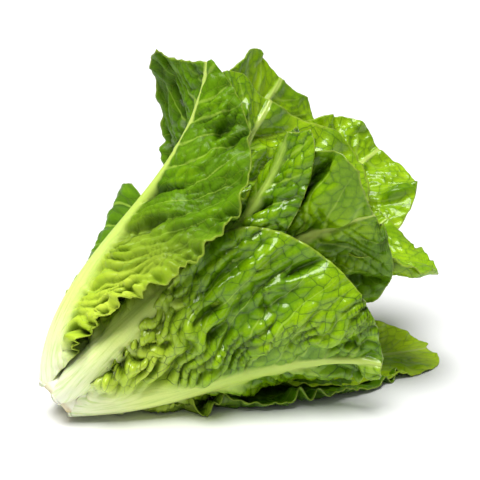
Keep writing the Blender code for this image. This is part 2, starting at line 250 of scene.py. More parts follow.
def make_stem():
    """The cut face, the butt that the leaf bases are grown into, and the hidden core above it."""
    face_radii = BUTT_RADIUS * np.linspace(0.04, 0.97, FACE_RINGS)
    side = np.linspace(0, 1, WALL_RINGS + 1)[1:]
    wall = BUTT_RADIUS * (1 + 0.45 * side - 0.85 * side**2)
    above = np.linspace(BUTT_DEPTH + 3, CORE_LENGTH, 16)
    radii = np.concatenate([face_radii, wall, core_radius(above) * 0.98])
    heights = np.concatenate([0 * face_radii, 0.25 + BUTT_DEPTH * side, above])
    grid = turned(heights, radii, STEM_SIDES)
    rows, sides = grid.shape[:2]
    across, up = grid[:, :, 0], grid[:, :, 1]
    distance = np.hypot(across, up)
    rough = 0.30 * cloud(across / 2.2, up / 2.2, 5) + 0.15 * cloud(across / 0.8, up / 0.8, 6)
    rounded = 0.5 * smooth(0.85, 1.0, distance / BUTT_RADIUS)
    grid[:FACE_RINGS, :, 2] += (rough + rounded)[:FACE_RINGS]
    index = np.arange(rows * sides).reshape(rows, sides)
    after = np.roll(index, -1, axis=1)
    quads = np.stack([index[:-1], index[1:], after[1:], after[:-1]], 2).reshape(-1, 4)[:, ::-1]
    faces = quads.tolist() + [index[0].tolist()[::-1], index[-1].tolist()]
    rim = smooth(0.72, 0.86, distance / BUTT_RADIUS) * (1 - smooth(0.5, 4.0, grid[:, :, 2]))
    marks = {"rim": rim.ravel(), "place": grid.reshape(-1, 3) * MM}
    add_piece("cut_stem", grid, faces, marks, cut_flesh(), "stem")


make_stem()

# ---------------------------------------------------------------------------------------------
# How every leaf grows. A thick pale rib rises from the stem and bends outwards, and a thin green
# blade spreads from both its sides. Each leaf is drawn in until it lies inside the leaves that
# grew before it, and what would sink into the table is lifted onto it.
RIB_HALF_WIDTH = 11.0
STALK_ASPECT = 2.6
STALK_SHARE = 0.12
CORE_GAP = 0.8
FEET_SLOPE = 0.15
FEET_ROOM = 3.0
SOLID_BLADE = 1.0
LEAF_GAP = 1.2
CLEARANCE = 0.35
LEAST_THICKNESS = 0.8
SETTLE_ROUNDS = 4
SPREAD_ROUNDS = 4
UNTANGLE_ROUNDS = 100
UNTANGLE_STEP = 0.7
THINNING = 0.04
ROWS = 20
ROW_CROWDING = 0.07
COLUMNS = (0.10, 0.26, 0.48, 0.73, 1.0)
ARC_STEPS = 100
RIB_STEPS = 240


def through(values, shares):
    """A smooth curve through evenly spaced values, read at shares of its length."""
    places = np.linspace(0, 1, len(values))
    return np.polyval(np.polyfit(places, values, len(values) - 1), shares)


def rib_line(leaf, shares):
    """Points on the rib's inner face, and its direction, its side and its outward normal there."""
    fine = np.linspace(0, 1, RIB_STEPS + 1)
    lean = np.radians(through(leaf["lean"], fine))
    around = np.radians(leaf["around"] + leaf["drift"] * fine)
    outward = np.stack([np.cos(around), np.sin(around), 0 * around], 1)
    side = np.stack([-np.sin(around), np.cos(around), 0 * around], 1)
    along = np.cos(lean)[:, None] * (0, 0, 1) + np.sin(lean)[:, None] * outward
    normal = np.cos(lean)[:, None] * outward - np.sin(lean)[:, None] * (0, 0, 1)
    middles = (along[1:] + along[:-1]) / 2 * leaf["length"] / RIB_STEPS
    start = outward[0] * (core_radius(leaf["foot"]) + CORE_GAP) + np.array((0, 0, leaf["foot"]))
    line = start + np.concatenate([np.zeros((1, 3)), np.cumsum(middles, axis=0)])
    at = np.clip(np.round(shares * RIB_STEPS).astype(int), 0, RIB_STEPS)
    return line[at], along[at], side[at], normal[at]


def half_width(leaf, which, shares):
    """Width of one half of the blade along the rib: a narrow foot, a broad middle and a round tip."""
    broad, widest, tip = leaf["widths"][which], leaf["widest"][which], leaf["tips"][which]
    fall = np.clip((shares - widest) / (1 - widest), 0, 1)
    stalk = STALK_ASPECT * leaf["rib"]
    spring = np.sin(math.pi / 2 * np.clip(shares / STALK_SHARE, 0, 1))
    foot = CUT_RADIUS * leaf["base"]
    lower = foot + (stalk - foot) * spring + (broad - stalk) * smooth(0, widest, shares)
    return lower * (tip + (1 - tip) * (1 - fall**1.7) ** leaf["rounds"][which])


def leaf_grid(leaf, shares, columns):
    """The blade's inner face as a grid of points, from its left margin over the rib to its right one."""
    line, along, side, normal = rib_line(leaf, shares)
    turn = np.radians(through(leaf["twist"], shares))[:, None]
    side, normal = np.cos(turn) * side + np.sin(turn) * normal, np.cos(turn) * normal - np.sin(turn) * side
    fine = np.linspace(0, 1, ARC_STEPS + 1)
    at = np.round(np.asarray(columns) * ARC_STEPS).astype(int)
    halves = []
    for which, name, sign in ((0, "left", -1), (1, "right", 1)):
        width = half_width(leaf, which, shares)[:, None, None]
        start, curl, hook = (np.radians(through(leaf[part + name], shares))[:, None]
                             for part in ("", "curl_", "hook_"))
        angle = start + curl * fine + hook * fine**4
        across, inward = (np.concatenate([0 * start, np.cumsum((part[:, 1:] + part[:, :-1]) / 2, axis=1)], 1)
                          / ARC_STEPS for part in (np.cos(angle), np.sin(angle)))
        bent = across[:, at, None] * sign * side[:, None, :] - inward[:, at, None] * normal[:, None, :]
        forward = leaf["sweep"] * (fine[at]**2)[None, :, None] * along[:, None, :]
        halves.append(line[:, None, :] + width * (bent + forward))
    return np.concatenate([halves[0][:, ::-1], line[:, None, :], halves[1]], axis=1)


def thickness(leaf, shares, across, blade):
    """Leaf thickness: a thin blade with a rib that stands out behind it, thick at the foot."""
    which = np.where(across < 0, 0, 1)
    widths = np.stack([half_width(leaf, 0, shares), half_width(leaf, 1, shares)], 1)[:, which]
    taper = np.clip(1 - shares, 0, 1)[:, None]
    off = across[None, :] * widths / (RIB_HALF_WIDTH * (0.25 + 0.75 * taper))
    return blade + (leaf["rib"] - SOLID_BLADE) * taper**1.3 * np.exp(-(off**2))


def sheet_faces(rows, columns):
    """The faces of a grid of points, counterclockwise seen from the leaf's inner side."""
    index = np.arange(rows * columns).reshape(rows, columns)
    lower, upper = index[:-1], index[1:]
    return np.stack([lower[:, :-1], upper[:, :-1], upper[:, 1:], lower[:, 1:]], 2).reshape(-1, 4)


def split(quads):
    """Each four-sided face as two triangles."""
    return np.concatenate([quads[:, (0, 1, 2)], quads[:, (0, 2, 3)]])


def solid_faces(rows, columns):
    """The faces of a leaf: its inner face, its outer face and the margin all round."""
    index = np.arange(rows * columns).reshape(rows, columns)
    inner = sheet_faces(rows, columns)
    outer = inner[:, ::-1] + rows * columns
    rim = np.concatenate([index[0], index[1:, -1], index[-1, -2::-1], index[-2:0:-1, 0]])
    after = np.roll(rim, -1)
    edge = np.stack([rim, after, after + rows * columns, rim + rows * columns], 1)
    return np.concatenate([inner, outer, edge])


def outward_of(grid):
    """The direction out of the blade's outer face at each point of the grid."""
    normal = np.cross(np.gradient(grid, axis=1), np.gradient(grid, axis=0))
    return normal / np.maximum(np.linalg.norm(normal, axis=2, keepdims=True), 1e-9)


def outer_face(grid, thick):
    """The blade's outer face, one leaf thickness out from the inner one and level with it at the foot."""
    normal = outward_of(grid)
    level = normal[0] * (1, 1, 0)
    normal[0] = level / np.sum(level * normal[0], axis=1, keepdims=True)
    return grid + thick[:, :, None] * normal


def tree_of(points, faces):
    """A search tree of a surface."""
    return BVHTree.FromPolygons([Vector(p) for p in points.reshape(-1, 3)], faces.tolist())


def lie_on_table(grid, thick):
    """Lifts what would sink into the table, so that the leaf lies flat on it."""
    rise = math.radians(STEM_RISE)
    up = np.array((-math.cos(rise), 0.0, math.sin(rise)))
    height = CUT_HEIGHT + grid @ up - thick
    return grid + np.clip(-height, 0, None)[:, :, None] * up


def spread(field):
    """Carries a pull on a grid a little past where it acts, fading out smoothly."""
    wide = field
    for step in range(SPREAD_ROUNDS):
        padded = np.pad(wide, 1, mode="edge")
        mean = (padded[:-2, 1:-1] + padded[2:, 1:-1] + padded[1:-1, :-2] + padded[1:-1, 2:] + wide) / 5
        wide = np.maximum(wide, mean) if step < SPREAD_ROUNDS // 2 else mean
    return np.maximum(wide, 0.7 * field)


def room_inside(tree, point):
    """How far a point must be drawn in towards the axis to lie inside an outer leaf."""
    axis = Vector((0, 0, point.z))
    reach = (point - axis).length
    hit = tree.ray_cast(axis, (point - axis).normalized())
    if hit[0] is None or hit[3] < 0.3 * reach:
        return 0.0
    return max(0.0, reach - (hit[3] - LEAF_GAP))


def drawn_in(grid, pull):
    """The leaf with each point drawn in towards the axis, but not into the core and the feet on it."""
    height = grid[:, :, 2]
    floor = core_radius(height) + CORE_GAP + np.clip(FEET_SLOPE * (height - height[0].mean()), 0, FEET_ROOM)
    reach = np.linalg.norm(grid[:, :, :2], axis=2)
    keep = np.maximum(reach - pull, np.minimum(floor, reach)) / np.maximum(reach, 1e-6)
    return grid * np.stack([keep, keep, np.ones_like(keep)], 2)


def settled(grid, thick, trees):
    """Draws a leaf in towards the stem until it lies inside the leaves that grow outside it."""
    for _ in range(SETTLE_ROUNDS):
        pull = np.array([[max([room_inside(tree, Vector(p)) for tree in trees] + [0.0]) for p in row]
                         for row in outer_face(grid, thick)])
        pull[0] = 0
        if pull.max() < 0.05:
            break
        grid = drawn_in(grid, spread(pull))
    return grid


def touching(grid, thick, trees):
    """Marks the points of a leaf whose faces cut, or almost cut, one of the other leaves."""
    rows, columns = grid.shape[:2]
    faces = split(solid_faces(rows, columns))
    shell = np.concatenate([outer_face(grid, 0 * thick - CLEARANCE), outer_face(grid, thick + CLEARANCE)])
    tree = tree_of(shell, faces)
    marks = np.zeros(2 * rows * columns)
    for other in trees:
        for _, face in other.overlap(tree):
            marks[faces[face]] = 1
    return marks.reshape(2, rows, columns).max(axis=0)


def untangled(grid, thick, trees):
    """Draws in and thins a leaf where it would still cut one that grows outside it."""
    for _ in range(UNTANGLE_ROUNDS):
        marks = touching(grid, thick, trees)
        if not marks.any():
            break
        field = spread(marks)
        grid = drawn_in(grid, UNTANGLE_STEP * field)
        thick = np.maximum(thick * (1 - THINNING * field), np.minimum(thick, LEAST_THICKNESS))
    return grid, thick


grown_inside, grown_solid = [], []


def grown(leaf):
    """One leaf's inner face on the coarse grid of its solid, settled inside the leaves before it."""
    even = np.linspace(0, 1, ROWS + 1)
    shares = even - ROW_CROWDING * np.sin(2 * math.pi * even)
    across = np.array([-c for c in reversed(COLUMNS)] + [0.0] + list(COLUMNS))
    thick = thickness(leaf, shares, across, SOLID_BLADE)
    grid = settled(lie_on_table(leaf_grid(leaf, shares, COLUMNS), thick), thick, grown_inside)
    grown_inside.append(tree_of(grid, sheet_faces(*grid.shape[:2])))
    grid, thick = untangled(grid, thick, grown_solid)
    points = np.concatenate([grid, outer_face(grid, thick)])
    grown_solid.append(tree_of(points, split(solid_faces(*grid.shape[:2]))))
    return shares, across, grid


# ---------------------------------------------------------------------------------------------
# The blade's relief. Side veins branch off the rib and curve towards the tip, a net of fine veins
# ties the blade down between them, and the tissue in each mesh of the net puffs up into a
# blister. Along the rib the blade is gathered into pleats, and its margin is longer than the
# blade behind it, so it ruffles.
MESH_STEP = 1.25
SPLINE_STEPS = 600
BLADE = 0.7
VEIN_SPACING = 17.0
FINE_NET = 2.2
NET_UNEVEN = 0.85


def spline_weights(count, places):
    """Weights that read a smooth cubic spline through evenly spaced values at places along them."""
    first = np.clip(np.floor(places).astype(int), 0, count - 2)
    f = places - first
    weights = np.zeros((len(places), count + 2))
    rows = np.arange(len(places))
    for k, w in enumerate(((1 - f)**3, 3 * f**3 - 6 * f**2 + 4, -3 * f**3 + 3 * f**2 + 3 * f + 1, f**3)):
        weights[rows, first + k] += w / 6
    inner = weights[:, 1:-1].copy()
    inner[:, 0] += 2 * weights[:, 0]
    inner[:, 1] -= weights[:, 0]
    inner[:, -1] += 2 * weights[:, -1]
    inner[:, -2] -= weights[:, -1]
    return inner


def weights_at(known, wanted):
    """Spline weights for the places where a coarse row of known values takes the wanted ones."""
    places = np.linspace(0, len(known) - 1, SPLINE_STEPS)
    return spline_weights(len(known), np.interp(wanted, spline_weights(len(known), places) @ known, places))


def net_reader():
    """Geometry nodes that write how far each point lies from the walls of the vein net."""
    group = bpy.data.node_groups.new("vein net", "GeometryNodeTree")
    for way in ("INPUT", "OUTPUT"):
        group.interface.new_socket("Geometry", in_out=way, socket_type="NodeSocketGeometry")
    enter, leave = group.nodes.new("NodeGroupInput"), group.nodes.new("NodeGroupOutput")
    place = group.nodes.new("GeometryNodeInputNamedAttribute")
    place.data_type = "FLOAT_VECTOR"
    place.inputs["Name"].default_value = "net"
    shape = enter.outputs[0]
    for name, scale in (("wall", 1.0), ("small_wall", FINE_NET)):
        net = group.nodes.new("ShaderNodeTexVoronoi")
        net.feature, net.voronoi_dimensions = "DISTANCE_TO_EDGE", "2D"
        net.inputs["Scale"].default_value = scale
        net.inputs["Randomness"].default_value = NET_UNEVEN
        group.links.new(place.outputs["Attribute"], net.inputs["Vector"])
        store = group.nodes.new("GeometryNodeStoreNamedAttribute")
        store.inputs["Name"].default_value = name
        group.links.new(shape, store.inputs["Geometry"])
        group.links.new(net.outputs["Distance"], store.inputs["Value"])
        shape = store.outputs[0]
    group.links.new(shape, leave.inputs[0])
    return group


reader = net_reader()


def walls(net):
    """Distance to the walls of the coarse and the fine net, in meshes of the coarse one."""
    points = net.reshape(-1, 3)
    mesh = bpy.data.meshes.new("net points")
    mesh.from_pydata(points.tolist(), [], [])
    mesh.attributes.new("net", "FLOAT_VECTOR", "POINT").data.foreach_set("vector", points.ravel())
    carrier = bpy.data.objects.new("net points", mesh)
    bpy.context.scene.collection.objects.link(carrier)
    carrier.modifiers.new("read", "NODES").node_group = reader
    read = carrier.evaluated_get(bpy.context.evaluated_depsgraph_get()).data
    found = []
    for name in ("wall", "small_wall"):
        values = np.empty(len(points), np.float32)
        read.attributes[name].data.foreach_get("value", values)
        found.append(values.reshape(net.shape[:2]).astype(float))
    bpy.data.objects.remove(carrier)
    bpy.data.meshes.remove(mesh)
    return found


def relief(leaf, shares, across):
    """How far the blade stands out at each point, in millimetres, and the marks that its skin reads."""
    seed = leaf["seed"]
    which = np.where(across < 0, 0, 1)
    widths = np.stack([half_width(leaf, 0, shares), half_width(leaf, 1, shares)], 1)[:, which]
    x = across[None, :] * widths
    y = shares[:, None] * leaf["length"] + 0 * x
    off, reach = np.abs(x), np.abs(across)[None, :] + 0 * x
    side = np.where(x < 0, 31.0, 0.0)
    rib_width = RIB_HALF_WIDTH * (0.10 + 1.15 * (1 - shares[:, None])**1.5)
    from_rib = off / rib_width

    # The side veins, which climb towards the margin and are counted up the leaf.
    wander = 5 * cloud(x / 26 + side, y / 26, seed) + 2 * cloud(x / 9 + side, y / 9, seed + 1)
    climb = y - (0.75 * off + 0.0035 * off**2) + wander
    turn = climb / VEIN_SPACING + np.where(x < 0, 0.5, 0.0) + 0.15 * cloud(y / 40, side, seed + 2)
    between = 2 * np.abs(turn - np.round(turn))
    vein_width = (0.5 + 1.6 * np.exp(-off / 16)) / VEIN_SPACING

    # The net of veins between them, and the blisters in its coarse and fine meshes.
    size = leaf["cell"]
    rise = y - 18 * (1 - np.exp(-off / 24)) + wander
    net = np.stack([off / size + side + 0.3 * cloud(x / 9, y / 9, seed + 3), rise / size + seed, 0 * x], 2)
    wall, small = walls(net)
    puff = np.sin(math.pi / 2 * np.clip(wall / 0.34, 0, 1))
    puff_small = np.sin(math.pi / 2 * np.clip(small / 0.3, 0, 1))
    uneven = 1 + 0.6 * cloud(x / 13 + side, y / 13, seed + 4)
    quilt = np.sin(math.pi / 2 * between) ** 0.7

    # How much the relief fades towards the rib, the margin, the tip and the foot.
    calm = smooth(0.6, 2.0, from_rib)
    even_rim = leaf["smooth_rim"]
    plain = 1 - even_rim * smooth(0.72, 1.0, reach)
    plain = plain * (1 - even_rim * smooth(0.82, 1.0, shares)[:, None])
    up_the_leaf = 0.4 + 0.6 * smooth(0.1, 0.4, shares)[:, None]

    # Pleats gathered beside the rib.
    pleat_reach = np.clip((off - 0.7 * rib_width) / leaf["pleat_reach"], 0, 4)
    gather = pleat_reach * np.exp(1 - pleat_reach) * np.clip(1.3 - 0.9 * shares[:, None], 0.2, 1)
    fold = climb / leaf["pleat"] + 1.2 * cloud(x / 17, y / 17, seed + 5)
    pleat = np.sin(2 * math.pi * fold) * (0.7 + 0.5 * cloud(x / 20, y / 20, seed + 6))

    height = leaf["blister"] * (puff * uneven + 0.3 * puff_small) * plain * up_the_leaf
    height += leaf["quilt"] * quilt * plain
    crumple = cloud(x / 24 + side, climb / 19, seed + 7) + 0.5 * cloud(x / 11 + side, climb / 9, seed + 8)
    crumple -= 1.2 * smooth(0.25, 0.75, cloud(x / 13 + side, climb / 17, seed + 9))
    height += leaf["crumple"] * crumple * (0.35 + 0.65 * plain)
    height += leaf["gather"] * pleat * gather
    height *= calm

    # The ruffled margin, in a long wave with a shorter one on it.
    frill = through(leaf["frill"], shares)[:, None] * smooth(0.50, 1.0, reach)**1.3
    wave = leaf["wave"]
    ruffle = np.sin(2 * math.pi * y / wave + 3 * cloud(y / 30, side, seed + 10) + side)
    ruffle += 0.5 * np.sin(2 * math.pi * y / (0.43 * wave) + 4 * cloud(y / 17, side, seed + 11))
    ruffle *= 0.75 + 0.5 * cloud(y / 23, side, seed + 12)
    height += frill * ruffle
    height *= smooth(0.03, 0.16, shares)[:, None]

    rim = np.maximum(reach, 1 - (1 - shares[:, None]) * leaf["length"] / np.maximum(widths, 1))
    # The swell mark carries painted light and shade: it is high on the tops of blisters and folds and low in
    # their hollows.
    marks = dict(from_rib=from_rib, turn=turn, vein_width=vein_width, rim=rim,
                 along=shares[:, None] + 0 * x, painted_swell_light=(puff * uneven + crumple * 0.8) * calm, net=net,
                 place=np.stack([x, y, 0 * x], 2) * MM)
    return height, marks


def leaf_skin(name, leaf):
    """Waxy green blade, its net of veins, and the white rib that turns green towards the tip, with painted
    light and shade on its relief, in its sunken veins and between the leaves.
    """
    skin = Skin(name)
    place = skin.place("place", (1, 1, 1))
    streaks = skin.grain(skin.place("place", (1, 0.05, 1)), 620.0, 4.0, 0.65)
    patches = skin.grain(place, 38.0, 5.0, 0.55)
    tissue = skin.grain(place, 700.0, 3.0, 0.65)
    along, net_place = skin.mark("along"), skin.place("net", (1, 1, 1))
    blade_share = skin.band(skin.mark("from_rib"), 0.75, 1.9)
    net = skin.net(net_place, 1.0, 0.045)
    fine_net = skin.net(net_place, FINE_NET, 0.06)
    lateral = skin.math("ABSOLUTE", skin.math("SUBTRACT", skin.math("FRACT", skin.math(
        "ADD", skin.mark("turn"), 200.5)), 0.5))
    lateral = skin.math("DIVIDE", lateral, skin.mark("vein_width"))
    lateral = skin.math("MULTIPLY", skin.band(lateral, 1.2, 0.3), skin.band(skin.mark("rim"), 1.05, 0.6))
    # Painted light and shade: each leaf's tone is partly its own shade of green and partly painted light,
    # raised on leaves that lie in shade and lowered on one that faces the lamp. The tone is also raised on
    # the tops of blisters and folds and lowered in their hollows.
    tone_and_light = skin.math("MULTIPLY_ADD", skin.mark("painted_swell_light"), 0.16, leaf["tone_and_light"] - 0.07)
    tone_and_light = skin.math("ADD", tone_and_light, skin.math("MULTIPLY_ADD", patches, 0.5, -0.25))
    tone_and_light = skin.math("ADD", tone_and_light, skin.math("MULTIPLY_ADD", tissue, 0.24, -0.12))
    blade = skin.ramp(tone_and_light, (0.0, (0.028, 0.088, 0.0)), (0.35, (0.112, 0.268, 0.0)),
                      (0.65, (0.275, 0.490, 0.0)), (1.0, (0.49, 0.71, 0.010)))
    young = skin.ramp(patches, (0.3, (0.42, 0.62, 0.02)), (0.7, (0.66, 0.80, 0.08)))
    youth = skin.band(along, 1.15 * leaf["green_from"], 0.45 * leaf["green_from"])
    blade = skin.mix(youth, blade, young)
    both = skin.math("MAXIMUM", net, skin.math("MULTIPLY", fine_net, 0.3))
    both = skin.math("MULTIPLY", both, blade_share)
    both = skin.math("MULTIPLY", both, skin.band(patches, 0.25, 0.52))
    # Painted shade: on glossy leaves the net's walls are painted dark, for the shade in their sunken veins.
    # On matte leaves they are painted pale, as their veins are raised and paler.
    blade = skin.mix(skin.math("MULTIPLY", both, 0.85 * leaf["glossy"]), blade, (0.015, 0.070, 0.0))
    blade = skin.mix(skin.math("MULTIPLY", both, 0.42 * (1 - leaf["glossy"])), blade, (0.32, 0.48, 0.02))
    blade = skin.mix(skin.math("MULTIPLY", lateral, 0.6), blade, (0.36, 0.55, 0.06))
    pale = leaf["rib_end"]
    rib_end = (0.20 + 0.38 * pale, 0.38 + 0.34 * pale, 0.02 + 0.14 * pale)
    rib = skin.ramp(along, (0.0, (0.92, 0.93, 0.76)), (0.25, (0.78, 0.90, 0.28)),
                    (0.55, (0.54, 0.71, 0.11)), (1.0, rib_end))
    rib = skin.mix(skin.band(streaks, 0.42, 0.80), rib, (0.50, 0.68, 0.14))
    colour = skin.mix(blade_share, rib, blade)
    rim = skin.math("MULTIPLY", skin.band(skin.mark("rim"), 0.972, 0.998), 0.45)
    colour = skin.mix(rim, colour, (0.42, 0.52, 0.07))
    # Painted shade: the colour turns dark green in crevices between leaves and in tight folds, less on the
    # pale ribs.
    shade = skin.math("MULTIPLY", skin.crevice_shade(0.014), skin.math("MULTIPLY_ADD", blade_share, 0.55, 0.25))
    colour = skin.mix(shade, colour, (0.020, 0.065, 0.0))
    skin.socket(skin.shader.inputs["Base Color"], colour)
    gloss = 0.50 - 0.20 * leaf["glossy"]
    skin.socket(skin.shader.inputs["Roughness"], skin.math("MULTIPLY_ADD", tissue, 0.24, gloss - 0.08))
    glow = skin.math("MULTIPLY_ADD", blade_share, -0.22, 0.32)
    skin.socket(skin.shader.inputs["Subsurface Weight"], glow)
    skin.shader.inputs["Subsurface Radius"].default_value = (0.002, 0.003, 0.0006)
    skin.shader.inputs["Specular IOR Level"].default_value = 0.25
    skin.shader.inputs["Specular Tint"].default_value = (0.85, 1.0, 0.30, 1)
    skin.shader.inputs["Coat Weight"].default_value = 0.65 * leaf["glossy"]
    skin.shader.inputs["Coat Roughness"].default_value = 0.13
    relief_of_net = skin.math("MULTIPLY_ADD", both, -1.2, tissue)
    ridges = skin.math("MULTIPLY", streaks, skin.math("MULTIPLY_ADD", blade_share, -2.0, 2.0))
    relief_of_net = skin.math("ADD", relief_of_net, ridges)
    skin.bump(relief_of_net, 0.45, 0.0004)
    return skin.material


def flared(sheet, shares, across, fringe):
    """Lets the blade run out past the sides of its stalk, all the way down to the foot."""
    sideways = np.gradient(sheet, axis=1)
    sideways /= np.linalg.norm(sideways, axis=2, keepdims=True)
    low_down = smooth(0.02, 0.10, shares) * (1 - smooth(0.22, 0.5, shares))
    out = fringe * low_down[:, None] * smooth(0.5, 1.0, np.abs(across))[None, :] * np.sign(across)[None, :]
    return sheet + out[:, :, None] * sideways


def finish_leaf(node, leaf):
    """Grows a leaf, lays its relief over it on a fine mesh and gives it its skin.

    Lengths are in millimetres and angles in degrees. Of two values, one is for the left half and one
    for the right, and three or four run from the foot to the tip.
    """
    known_shares, known_across, coarse = grown(leaf)
    shares = np.linspace(0, 1, int(leaf["length"] / MESH_STEP))
    across = np.linspace(-1, 1, 2 * int(sum(leaf["widths"]) / MESH_STEP / 2) + 1)
    down, over = weights_at(known_shares, shares), weights_at(known_across, across)
    sheet = np.einsum("ri,cj,ijk->rck", down, over, coarse)
    height, marks = relief(leaf, shares, across)
    sheet = sheet + height[:, :, None] * outward_of(sheet)
    sheet = flared(sheet, shares, across, leaf["fringe"])
    thick = thickness(leaf, shares, across, BLADE)
    sheet = lie_on_table(sheet, thick)
    points = np.concatenate([sheet, outer_face(sheet, thick)])
    marks = {name: np.concatenate([values, values]) for name, values in marks.items()}
    name = node + "_blade"
    add_piece(name, points, solid_faces(*sheet.shape[:2]), marks, leaf_skin(name, leaf), node)


# ---------------------------------------------------------------------------------------------
# The leaf underneath. A dark, tough outer leaf that the head lies on, flattened against the table
# and creased along its margin.
finish_leaf("table_leaf", dict(
    around=1, drift=-9, foot=0.6, base=0.36, length=222, rib=4, lean=(44, 38, 36, 36), twist=(0, 0, 0),
    widths=(54, 48), widest=(0.6, 0.6), tips=(0.3, 0.3), rounds=(0.5, 0.5), sweep=0.3,
    left=(0, 0, 0), curl_left=(30, 15, 5), hook_left=(0, 20, 20),
    right=(0, 0, 0), curl_right=(30, 0, -20), hook_right=(0, 0, 0),
    seed=11, cell=8, blister=1.4, quilt=1.0, crumple=4.0, smooth_rim=0.3,
    gather=1.0, pleat=11, pleat_reach=14, frill=(4, 5, 3.5), wave=24, fringe=6,
    glossy=0.8, tone_and_light=0.34, rib_end=0.6, green_from=0.4))

# ---------------------------------------------------------------------------------------------
# The tall outer leaf. Its broad rib is bent back and its blade is folded along it, matte on the
# back with raised pale veins. Low down its right margin is gathered into a frilly fringe.
finish_leaf("upper_outer_leaf", dict(
    around=166, drift=0, foot=0.6, base=0.78, length=230, rib=5, lean=(54, 16, 14, 44), twist=(0, -15, -40),
    widths=(62, 74), widest=(0.85, 0.58), tips=(0.7, 0.05), rounds=(0.5, 1.0), sweep=0.1,
    left=(5, 55, 30), curl_left=(40, -20, -60), hook_left=(0, 0, 0),
    right=(0, 5, 0), curl_right=(60, 45, 30), hook_right=(0, -60, 0),
    seed=23, cell=6, blister=0.8, quilt=1.2, crumple=4.0, smooth_rim=0.5,
    gather=2.6, pleat=9, pleat_reach=14, frill=(4, 2.5, 1.5), wave=17, fringe=7,
    glossy=0.15, tone_and_light=0.2, rib_end=1.0, green_from=0.55))

# ---------------------------------------------------------------------------------------------
# The big leaf in front. Glossy and heavily blistered, with pleats that fan out from the rib, and
# a smooth rim. Its lower half curls under until it touches the table.
finish_leaf("front_outer_leaf", dict(
    around=-44, drift=0, foot=0.6, base=0.78, length=198, rib=5, lean=(46, 28, 30, 56), twist=(0, 25, 35),
    widths=(98, 28), widest=(0.6, 0.52), tips=(0.05, 0.3), rounds=(0.9, 0.5), sweep=0.1,
    left=(0, 5, 0), curl_left=(60, 50, 40), hook_left=(0, 0, 0),
    right=(0, 10, 0), curl_right=(50, 30, 20), hook_right=(0, 0, 0),
    seed=37, cell=6.5, blister=1.2, quilt=1.2, crumple=6.0, smooth_rim=0.75,
    gather=4.0, pleat=12, pleat_reach=18, frill=(6, 1.5, 1), wave=14, fringe=9,
    glossy=0.95, tone_and_light=0.47, rib_end=0.9, green_from=0.45))

# ---------------------------------------------------------------------------------------------
# The leaf between them. Its rib is the widest that shows, white at the butt, and its narrow
# folded blade stands up behind the leaf in front.
finish_leaf("front_middle_leaf", dict(
    around=-119, drift=-72, foot=0.6, base=0.78, length=222, rib=5, lean=(46, 4, 8, 36), twist=(0, 0, 0),
    widths=(34, 30), widest=(0.5, 0.5), tips=(0.5, 0.5), rounds=(0.5, 0.5), sweep=0.3,
    left=(0, 10, 20), curl_left=(60, 50, 40), hook_left=(0, 0, 0),
    right=(0, 10, 20), curl_right=(60, 50, 40), hook_right=(0, 0, 0),
    seed=41, cell=6.5, blister=1.2, quilt=1.0, crumple=4.5, smooth_rim=0.2,
    gather=1.0, pleat=11, pleat_reach=14, frill=(3, 2, 2), wave=22, fringe=6,
    glossy=0.9, tone_and_light=0.4, rib_end=0.1, green_from=0.6))

# ---------------------------------------------------------------------------------------------
# The leaves behind. They spread to the back and to the right, from the outermost one near the
# table to the tall one at the top, and show mostly their upper parts.
finish_leaf("upper_back_leaf", dict(
    around=108, drift=0, foot=0.6, base=0.42, length=160, rib=4, lean=(50, 38, 34, 38), twist=(0, 0, 0),
    widths=(40, 26), widest=(0.7, 0.7), tips=(0.5, 0.5), rounds=(0.5, 0.5), sweep=0.3,
    left=(0, 10, 0), curl_left=(35, 30, 10), hook_left=(0, 0, 0),
    right=(0, 10, 0), curl_right=(35, 30, 10), hook_right=(0, 0, 0),
    seed=59, cell=8, blister=0.9, quilt=1.0, crumple=1.6, smooth_rim=0.4,
    gather=1.0, pleat=11, pleat_reach=14, frill=(2, 2, 2), wave=22, fringe=6,
    glossy=0.6, tone_and_light=0.30, rib_end=0.7, green_from=0.5))
finish_leaf("back_outer_leaf", dict(
    around=62, drift=0, foot=0.6, base=0.5, length=205, rib=4, lean=(46, 26, 20, 30), twist=(0, 0, 0),
    widths=(46, 50), widest=(0.62, 0.62), tips=(0.25, 0.25), rounds=(0.5, 0.5), sweep=0.3,
    left=(0, 0, 0), curl_left=(35, 25, 0), hook_left=(0, 0, 0),
    right=(0, 0, 0), curl_right=(35, 25, 0), hook_right=(0, 0, 0),
    seed=61, cell=9, blister=0.9, quilt=1.2, crumple=2.0, smooth_rim=0.4,
    gather=1.4, pleat=11, pleat_reach=14, frill=(4, 3, 2), wave=23, fringe=6,
    glossy=0.4, tone_and_light=0.45, rib_end=0.7, green_from=0.5))
finish_leaf("low_back_leaf", dict(
    around=-2, drift=0, foot=10, base=0.5, length=258, rib=3.6, lean=(36, 38, 42, 58), twist=(0, -20, -35),
    widths=(40, 36), widest=(0.8, 0.8), tips=(0.3, 0.3), rounds=(0.5, 0.5), sweep=0.2,
    left=(0, 5, 10), curl_left=(60, 40, 20), hook_left=(0, 0, 0),
    right=(0, 5, 10), curl_right=(60, 40, 20), hook_right=(0, 0, 0),
    seed=53, cell=8, blister=0.6, quilt=1.0, crumple=1.6, smooth_rim=0.6,
    gather=1.0, pleat=11, pleat_reach=14, frill=(2, 1.5, 1.5), wave=24, fringe=6,
    glossy=0.5, tone_and_light=0.9, rib_end=1.0, green_from=0.5))
